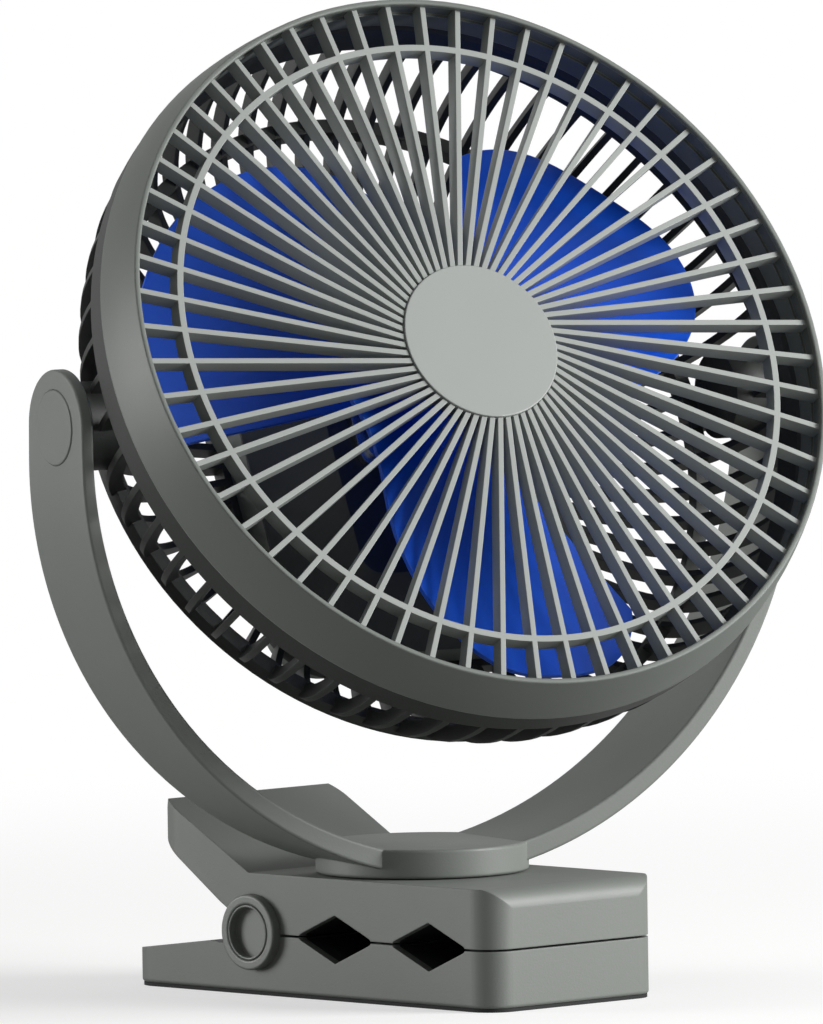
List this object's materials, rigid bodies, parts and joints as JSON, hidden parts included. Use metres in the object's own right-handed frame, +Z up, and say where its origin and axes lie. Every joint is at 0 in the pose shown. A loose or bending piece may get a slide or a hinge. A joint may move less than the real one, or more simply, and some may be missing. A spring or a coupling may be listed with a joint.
{
  "type": "clip fan",
  "caption": "Rechargeable round fan head with straight slanting spokes, tilting in a U-shaped yoke that swivels on a sprung clip.",
  "frame": {"origin": "on the swivel axis, at the height of the flat surface that the clip stands on", "axes": "+Z up along the swivel axis; -Y towards the clip's mouth, which is the front; +X along the jaw's width and the hinge pin"},
  "size_m": [0.2198, 0.1744, 0.2689],
  "materials": {
    "body_plastic": "fine-textured warm grey moulded plastic",
    "grille_plastic": "satin grey moulded plastic",
    "blade_plastic": "smooth royal-blue moulded plastic",
    "dark_plastic": "dark moulded plastic",
    "cap_plastic": "satin grey moulded plastic, plain",
    "rubber": "matt black rubber",
    "steel": "plain zinc-plated steel",
    "spring_steel": "bare spring steel wire",
    "brass": "turned brass",
    "motor_steel": "drawn steel can",
    "cell_wrap": "shrink wrap",
    "board": "green circuit board",
    "light_lens": "frosted clear plastic",
    "bush_plastic": "natural acetal plastic"
  },
  "bodies": {
    "lower_clip": {"lower_jaw": "body_plastic", "lower_jaw_insert": "dark_plastic", "lower_jaw_pads": "rubber", "base_plate": "dark_plastic", "foot_pad": "rubber", "hinge_pin": "cap_plastic", "hinge_collars": "body_plastic", "torsion_spring": "spring_steel"},
    "upper_clip": {"upper_jaw": "body_plastic", "upper_jaw_insert": "dark_plastic", "upper_jaw_pads": "rubber", "swivel_spring_washer": "spring_steel"},
    "yoke_arm": {"yoke": "body_plastic", "pivot_caps": "body_plastic", "swivel_washer": "steel", "swivel_screw": "steel"},
    "fan_head": {"front_grille": "grille_plastic", "hub_cap": "cap_plastic", "front_bezel": "body_plastic", "rear_grille": "body_plastic", "pivot_bushes": "bush_plastic", "pivot_pins": "steel", "battery_housing": "dark_plastic", "battery_cover": "body_plastic", "cover_screws": "steel", "battery_cells": "cell_wrap", "control_board": "board", "charge_lights": "light_lens", "charge_socket": "steel", "motor_plate": "steel", "motor_screws": "steel", "motor_can": "motor_steel"},
    "wheel": {"fan_wheel": "blade_plastic", "shaft_bush": "brass", "motor_shaft": "steel"},
    "button": {"power_button": "cap_plastic"}
  },
  "joints": [
    {"name": "jaw_open", "type": "hinge", "parent": "lower_clip", "child": "upper_clip", "pos_m": [0, 0.0331, 0.0171], "axis": [-1, 0, 0], "range_deg": [0, 35], "stiffness_Nm_per_rad": 1.2, "springref_deg": -51.57, "deforming": ["torsion_spring"]},
    {"name": "yoke_swivel", "type": "hinge", "parent": "upper_clip", "child": "yoke_arm", "pos_m": [0, 0, 0.0334], "axis": [0, 0, 1], "range_deg": [-180, 180]},
    {"name": "head_tilt", "type": "hinge", "parent": "yoke_arm", "child": "fan_head", "pos_m": [0, 0, 0.1583], "axis": [-0.9632, 0.2689, 0], "range_deg": [-48.5, 150]},
    {"name": "fan_spin", "type": "hinge", "parent": "fan_head", "child": "wheel", "pos_m": [0, 0, 0.1583], "axis": [-0.2363, -0.8464, 0.4772], "continuous": true},
    {"name": "button_press", "type": "slide", "parent": "fan_head", "child": "button", "axis": [-0.2363, -0.8464, 0.4772], "range_m": [0, 0.0006], "stiffness_N_per_m": 600, "springref_m": -0.0006}
  ]
}
